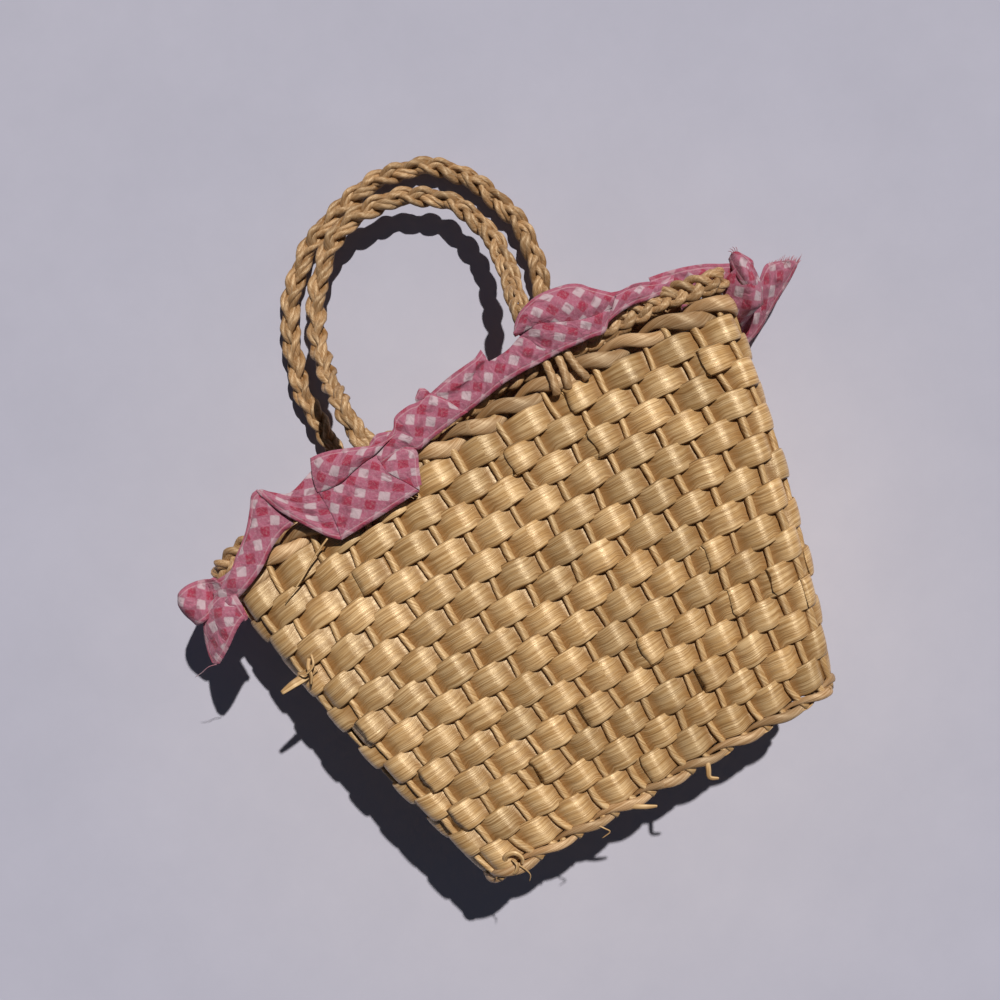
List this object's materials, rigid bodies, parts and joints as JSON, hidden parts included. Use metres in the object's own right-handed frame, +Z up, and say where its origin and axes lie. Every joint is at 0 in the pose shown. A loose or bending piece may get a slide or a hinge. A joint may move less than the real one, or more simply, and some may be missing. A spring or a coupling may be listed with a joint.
{
  "type": "mini tote bag",
  "caption": "Mini tote bag of woven straw lying on its back, with a plaited rim, braided loop handles that fold and a gingham ribbon gathered round the rim.",
  "frame": {"origin": "middle of a flat weave float on the back panel, in the plane that the bag lies on", "axes": "+X along the rim, +Y from the base towards the mouth and the handles, +Z up out of the front panel"},
  "size_m": [0.2116, 0.2064, 0.0459],
  "materials": {
    "straw_weave": "satin flat straw strips over twisted straw cords",
    "straw_rope": "twined and plaited straw",
    "straw_braid": "braided straw rope",
    "gingham": "matte woven cotton gingham cut on the bias"
  },
  "bodies": {
    "bag": {"woven_body": "straw_weave", "base_rope": "straw_rope", "rim_twining": "straw_rope", "rim_braid": "straw_rope", "front_handle_roots": "straw_braid", "back_handle_roots": "straw_braid", "gingham_ribbon": "gingham"},
    "front_handle": {"front_handle": "straw_braid"},
    "back_handle": {"back_handle": "straw_braid"}
  },
  "joints": [
    {"name": "front_handle_fold", "type": "hinge", "parent": "bag", "child": "front_handle", "pos_m": [0.0024, 0.08975, 0.0333], "axis": [1, 0, 0], "range_deg": [-1.5, 100]},
    {"name": "back_handle_fold", "type": "hinge", "parent": "bag", "child": "back_handle", "pos_m": [0.0019, 0.08975, 0.0047], "axis": [1, 0, 0], "range_deg": [-100, 1.5]}
  ]
}
